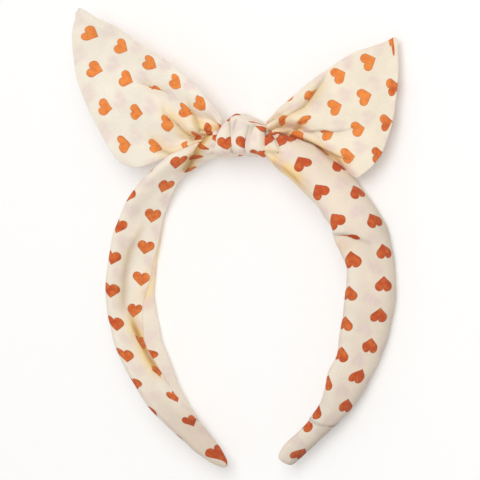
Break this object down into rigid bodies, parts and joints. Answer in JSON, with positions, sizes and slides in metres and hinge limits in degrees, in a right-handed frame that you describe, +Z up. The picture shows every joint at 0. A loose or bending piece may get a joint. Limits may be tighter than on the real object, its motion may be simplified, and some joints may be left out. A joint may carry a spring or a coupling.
{
  "type": "headband",
  "caption": "Padded cloth headband, broad down each leg, with a tie knotted at the crown whose pointed ends stand out like ears; cream cotton printed with orange-red hearts.",
  "frame": {"origin": "middle of the headband's footprint, on the surface that it lies on", "axes": "+Z up from the surface, out of the hoop's front edge; +Y from the leg tips towards the knot and the ears; +X towards the right leg as seen from the front"},
  "size_m": [0.1604, 0.2146, 0.0236],
  "materials": {
    "printed_cotton": "matt plain-weave cream cotton with a print of small orange-red hearts"
  },
  "bodies": {
    "root": {"band": "printed_cotton", "knot": "printed_cotton", "ear_left": "printed_cotton", "ear_right": "printed_cotton"}
  },
  "joints": []
}
